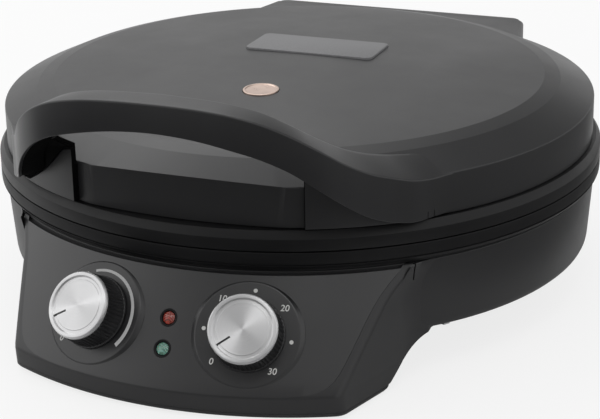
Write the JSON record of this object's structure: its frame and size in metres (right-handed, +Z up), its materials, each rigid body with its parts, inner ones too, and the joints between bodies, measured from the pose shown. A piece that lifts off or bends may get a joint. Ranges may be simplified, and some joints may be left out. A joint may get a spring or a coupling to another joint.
{
  "type": "electric pizza oven",
  "caption": "Round clamshell countertop pizza oven with a domed lid on a rear hinge, an arched front handle and a sloping control housing with knobs and indicator lamps.",
  "frame": {"origin": "centre of the outer box at the table, under the feet", "axes": "+Z up from the table, -Y out through the control panel at the front, +X to the right as seen from the front"},
  "size_m": [0.345, 0.3935, 0.161],
  "materials": {
    "base_shell": "satin",
    "lower_rim": "satin",
    "lower_plate": "non-stick coating",
    "lower_element": "plain",
    "lower_reflector": "bright sheet",
    "lower_reflector_screw_1": "plain",
    "lower_reflector_screw_2": "plain",
    "lower_reflector_screw_3": "plain",
    "control_panel": "satin",
    "red_lens": "translucent",
    "green_lens": "translucent",
    "red_lamp_holder": "satin",
    "green_lamp_holder": "satin",
    "thermostat_body": "plain",
    "timer_body": "plain",
    "front_cover": "satin",
    "bottom_cover": "satin",
    "bottom_cover_screw_1": "plain",
    "bottom_cover_screw_2": "plain",
    "bottom_cover_screw_3": "plain",
    "bottom_cover_screw_4": "plain",
    "foot_front_left": "matt",
    "foot_front_right": "matt",
    "foot_rear_left": "matt",
    "foot_rear_right": "matt",
    "hinge_pin_left": "plain",
    "hinge_pin_right": "plain",
    "cord_gland": "matt",
    "terminal_block": "plain",
    "lid_shell": "satin",
    "handle": "satin",
    "handle_cover": "satin",
    "handle_screw_1": "plain",
    "handle_screw_2": "plain",
    "handle_screw_3": "plain",
    "handle_screw_4": "plain",
    "upper_rim": "satin",
    "upper_plate": "non-stick coating",
    "upper_element": "plain",
    "upper_reflector": "bright sheet",
    "upper_reflector_screw_1": "plain",
    "upper_reflector_screw_2": "plain",
    "upper_reflector_screw_3": "plain",
    "lid_plate": "satin",
    "badge": "satin rose metal",
    "thermostat_knob": "satin",
    "thermostat_cap": "turned, with fine rings",
    "thermostat_spindle": "plain",
    "timer_knob": "satin",
    "timer_cap": "turned, with fine rings",
    "timer_spindle": "plain"
  },
  "bodies": {
    "base": {"base_shell": "base_shell", "lower_rim": "lower_rim", "lower_plate": "lower_plate", "lower_element": "lower_element", "lower_reflector": "lower_reflector", "lower_reflector_screw_1": "lower_reflector_screw_1", "lower_reflector_screw_2": "lower_reflector_screw_2", "lower_reflector_screw_3": "lower_reflector_screw_3", "control_panel": "control_panel", "red_lens": "red_lens", "green_lens": "green_lens", "red_lamp_holder": "red_lamp_holder", "green_lamp_holder": "green_lamp_holder", "thermostat_body": "thermostat_body", "timer_body": "timer_body", "front_cover": "front_cover", "bottom_cover": "bottom_cover", "bottom_cover_screw_1": "bottom_cover_screw_1", "bottom_cover_screw_2": "bottom_cover_screw_2", "bottom_cover_screw_3": "bottom_cover_screw_3", "bottom_cover_screw_4": "bottom_cover_screw_4", "foot_front_left": "foot_front_left", "foot_front_right": "foot_front_right", "foot_rear_left": "foot_rear_left", "foot_rear_right": "foot_rear_right", "hinge_pin_left": "hinge_pin_left", "hinge_pin_right": "hinge_pin_right", "cord_gland": "cord_gland", "terminal_block": "terminal_block"},
    "lid": {"lid_shell": "lid_shell", "handle": "handle", "handle_cover": "handle_cover", "handle_screw_1": "handle_screw_1", "handle_screw_2": "handle_screw_2", "handle_screw_3": "handle_screw_3", "handle_screw_4": "handle_screw_4", "upper_rim": "upper_rim", "upper_plate": "upper_plate", "upper_element": "upper_element", "upper_reflector": "upper_reflector", "upper_reflector_screw_1": "upper_reflector_screw_1", "upper_reflector_screw_2": "upper_reflector_screw_2", "upper_reflector_screw_3": "upper_reflector_screw_3", "lid_plate": "lid_plate", "badge": "badge"},
    "thermostat": {"thermostat_knob": "thermostat_knob", "thermostat_cap": "thermostat_cap", "thermostat_spindle": "thermostat_spindle"},
    "timer": {"timer_knob": "timer_knob", "timer_cap": "timer_cap", "timer_spindle": "timer_spindle"}
  },
  "joints": [
    {"name": "lid_hinge", "type": "hinge", "parent": "base", "child": "lid", "pos_m": [0, 0.19195, 0.08065], "axis": [-1, 0, 0], "range_deg": [0, 180]},
    {"name": "thermostat_turn", "type": "hinge", "parent": "base", "child": "thermostat", "pos_m": [-0.0422, -0.17281, 0.04038], "axis": [0.1842, 0.8042, -0.5651], "range_deg": [0, 270]},
    {"name": "timer_turn", "type": "hinge", "parent": "base", "child": "timer", "pos_m": [0.0422, -0.17281, 0.04038], "axis": [-0.1842, 0.8042, -0.5651], "range_deg": [0, 270]}
  ]
}
